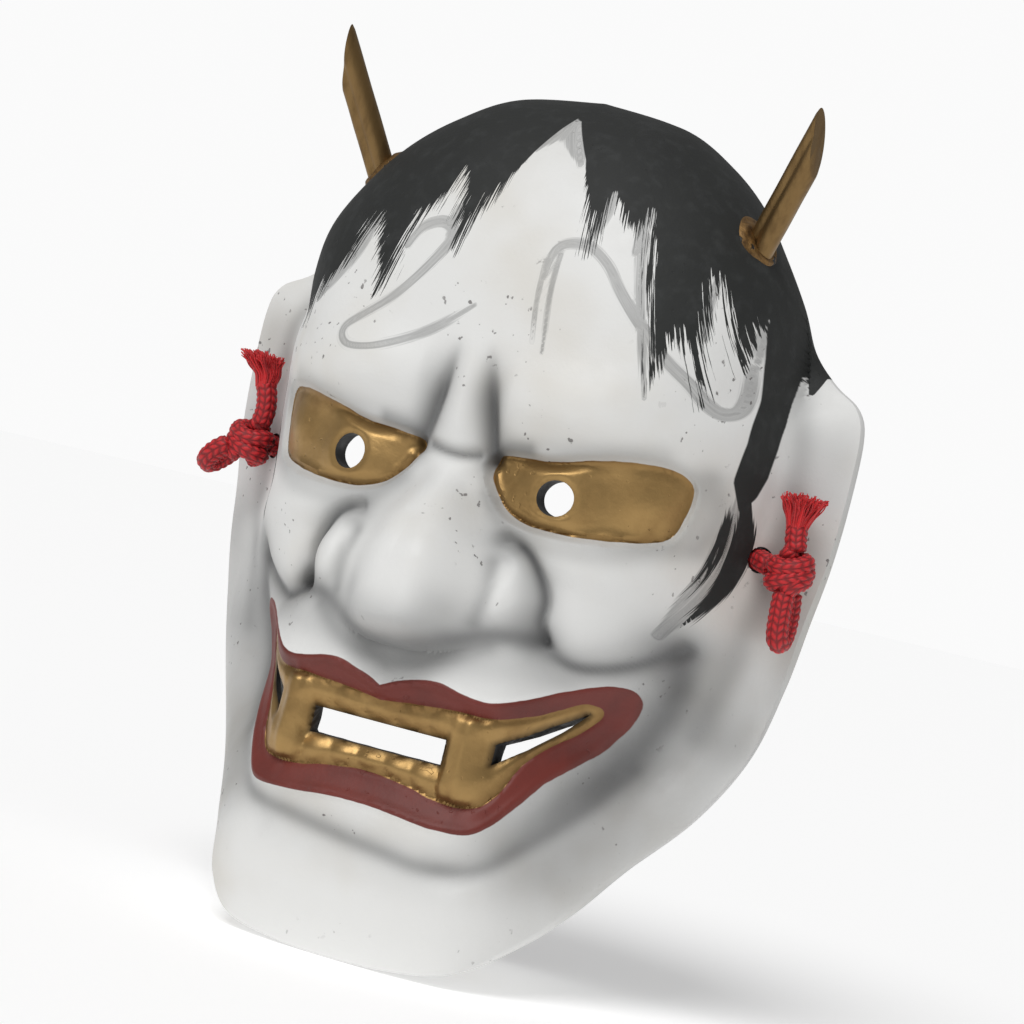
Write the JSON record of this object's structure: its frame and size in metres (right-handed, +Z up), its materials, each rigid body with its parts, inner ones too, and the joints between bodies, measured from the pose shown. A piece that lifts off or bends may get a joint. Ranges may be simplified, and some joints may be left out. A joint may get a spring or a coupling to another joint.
{
  "type": "noh mask",
  "caption": "Horned demon theatre mask: a carved and painted shell with open eyes and mouth, gilt horns and a knotted red cord.",
  "frame": {"origin": "on the mask's middle line in the plane of its back rim, 87 mm above the rim's lowest point", "axes": "+Z up to the crown, -Y the way the face looks, +X to the right of a viewer in front; the back rim is the plane y = 0"},
  "size_m": [0.1582, 0.0848, 0.2114],
  "materials": {
    "carved_mask": "matt white paint with gilt eyes and teeth, red-brown lips and charcoal hair, black inside",
    "gilt_horn": "gilt, satin",
    "gilt_filler": "gilt putty, matt",
    "red_cord": "braided, soft"
  },
  "bodies": {
    "root": {"mask_shell": "carved_mask", "horn_left": "gilt_horn", "horn_right": "gilt_horn", "horn_filler_left": "gilt_filler", "horn_filler_right": "gilt_filler", "hanging_cord": "red_cord", "knot_left": "red_cord", "knot_right": "red_cord", "cord_loop_left": "red_cord", "cord_loop_right": "red_cord", "cord_tail_left": "red_cord", "cord_tail_right": "red_cord", "cord_tuft_left": "red_cord", "cord_tuft_right": "red_cord"}
  },
  "joints": []
}
